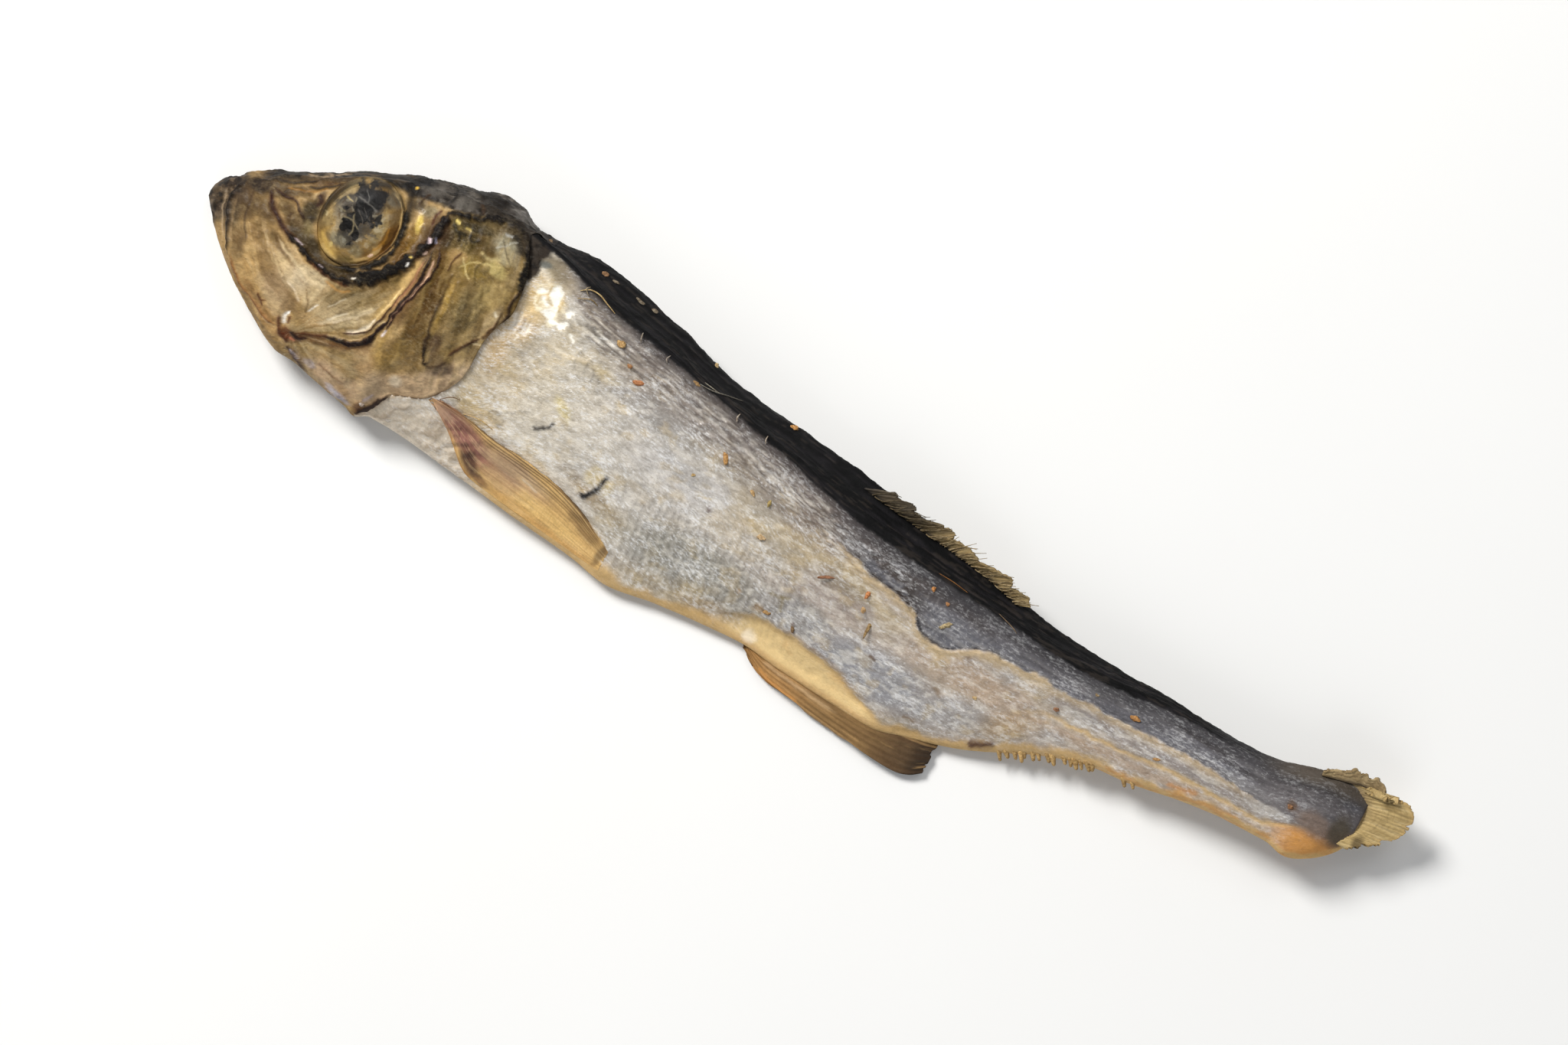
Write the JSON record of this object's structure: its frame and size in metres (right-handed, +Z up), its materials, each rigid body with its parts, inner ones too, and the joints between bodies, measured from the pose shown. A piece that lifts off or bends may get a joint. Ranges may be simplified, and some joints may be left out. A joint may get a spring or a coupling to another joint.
{
  "type": "dried herring",
  "caption": "Whole small dried herring lying on its side, with a silvery shrunken flank, a dark back, a golden gill cover and stiff folded fins.",
  "frame": {"origin": "under the middle of the fish's box, on the surface that it lies on", "axes": "+X from the snout towards the tail, +Y from the belly towards the back, +Z up from the surface, with the left flank facing up"},
  "size_m": [0.1488, 0.0352, 0.0125],
  "materials": {
    "dried_skin": "dry satin skin: silvery cream flank, blue-black back, golden olive head, tan belly and fins"
  },
  "bodies": {
    "root": {"herring": "dried_skin"}
  },
  "joints": []
}
